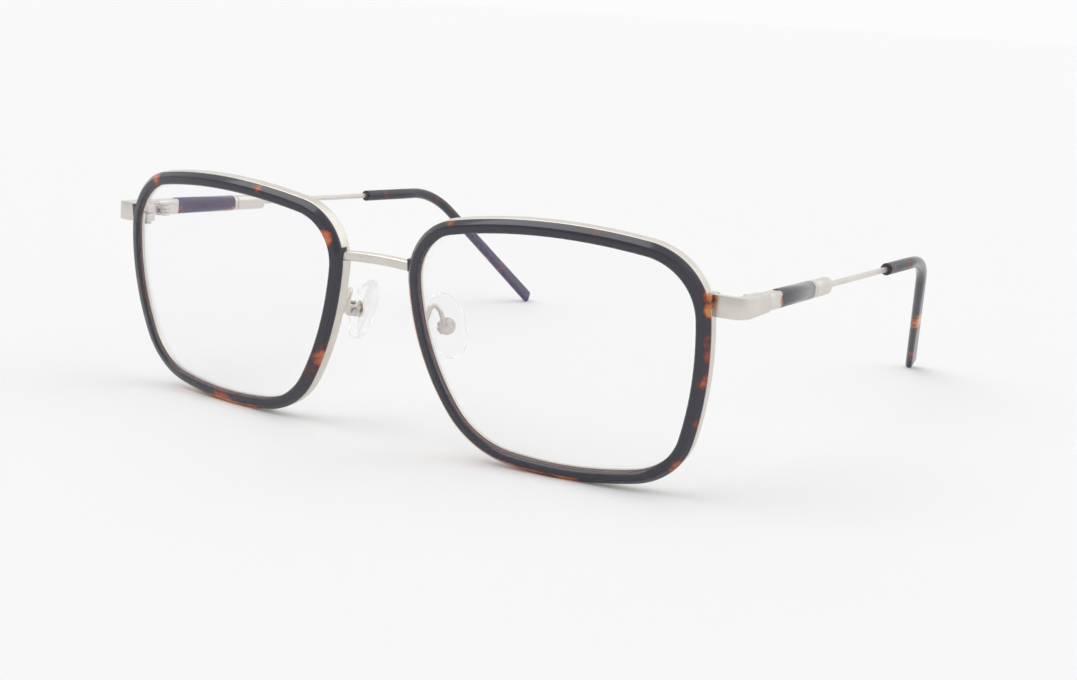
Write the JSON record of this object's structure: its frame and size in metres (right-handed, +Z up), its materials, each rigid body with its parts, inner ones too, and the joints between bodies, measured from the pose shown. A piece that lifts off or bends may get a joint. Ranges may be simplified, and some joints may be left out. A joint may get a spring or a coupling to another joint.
{
  "type": "eyeglasses",
  "caption": "Eyeglasses with squared acetate rims set in satin metal eyewires, folding wire temples with acetate sleeves and tips, and clear rocking nose pads.",
  "frame": {"origin": "on the table under the middle of the glasses, halfway between the front of the rims and the back of the temple tips", "axes": "+X to the wearer's left, +Y from the front to the temple tips, +Z up; the glasses stand with open temples on the rims and the tips"},
  "size_m": [0.1394, 0.1502, 0.0457],
  "materials": {
    "tortoise_acetate": "polished, dark brown with amber patches",
    "satin_metal": "satin, warm silver",
    "screw_steel": "satin",
    "lens": "clear, coated",
    "silicone": "clear, soft"
  },
  "bodies": {
    "front": {"bridge": "satin_metal", "acetate_rim_left": "tortoise_acetate", "eyewire_left": "satin_metal", "lens_left": "lens", "rim_lock_upper_left": "satin_metal", "rim_lock_lower_left": "satin_metal", "rim_lock_screw_left": "screw_steel", "endpiece_left": "satin_metal", "hinge_front_left": "satin_metal", "hinge_screw_left": "screw_steel", "pad_screw_left": "screw_steel", "pad_box_left": "satin_metal", "pad_arm_left": "satin_metal", "acetate_rim_right": "tortoise_acetate", "eyewire_right": "satin_metal", "lens_right": "lens", "rim_lock_upper_right": "satin_metal", "rim_lock_lower_right": "satin_metal", "rim_lock_screw_right": "screw_steel", "endpiece_right": "satin_metal", "hinge_front_right": "satin_metal", "hinge_screw_right": "screw_steel", "pad_screw_right": "screw_steel", "pad_box_right": "satin_metal", "pad_arm_right": "satin_metal"},
    "temple_left": {"hinge_temple_left": "satin_metal", "temple_fitting_left": "satin_metal", "temple_sleeve_left": "tortoise_acetate", "temple_ferrule_left": "satin_metal", "temple_wire_left": "satin_metal", "temple_tip_left": "tortoise_acetate"},
    "temple_right": {"hinge_temple_right": "satin_metal", "temple_fitting_right": "satin_metal", "temple_sleeve_right": "tortoise_acetate", "temple_ferrule_right": "satin_metal", "temple_wire_right": "satin_metal", "temple_tip_right": "tortoise_acetate"},
    "nose_pad_left": {"nose_pad_left": "silicone", "pad_insert_left": "satin_metal"},
    "nose_pad_right": {"nose_pad_right": "silicone", "pad_insert_right": "satin_metal"}
  },
  "joints": [
    {"name": "fold_left", "type": "hinge", "parent": "front", "child": "temple_left", "pos_m": [0.06548, -0.05695, 0.034], "axis": [-0.0009, 0.0314, 0.9995], "range_deg": [0, 87]},
    {"name": "fold_right", "type": "hinge", "parent": "front", "child": "temple_right", "pos_m": [-0.06548, -0.05695, 0.034], "axis": [-0.0009, -0.0314, -0.9995], "range_deg": [0, 80]},
    {"name": "pad_rock_left", "type": "hinge", "parent": "front", "child": "nose_pad_left", "pos_m": [0.01088, -0.06487, 0.02256], "axis": [-0.8207, -0.474, -0.319], "range_deg": [-8, 8]},
    {"name": "pad_rock_right", "type": "hinge", "parent": "front", "child": "nose_pad_right", "pos_m": [-0.01088, -0.06487, 0.02256], "axis": [-0.8207, 0.474, 0.319], "range_deg": [-8, 8]}
  ]
}
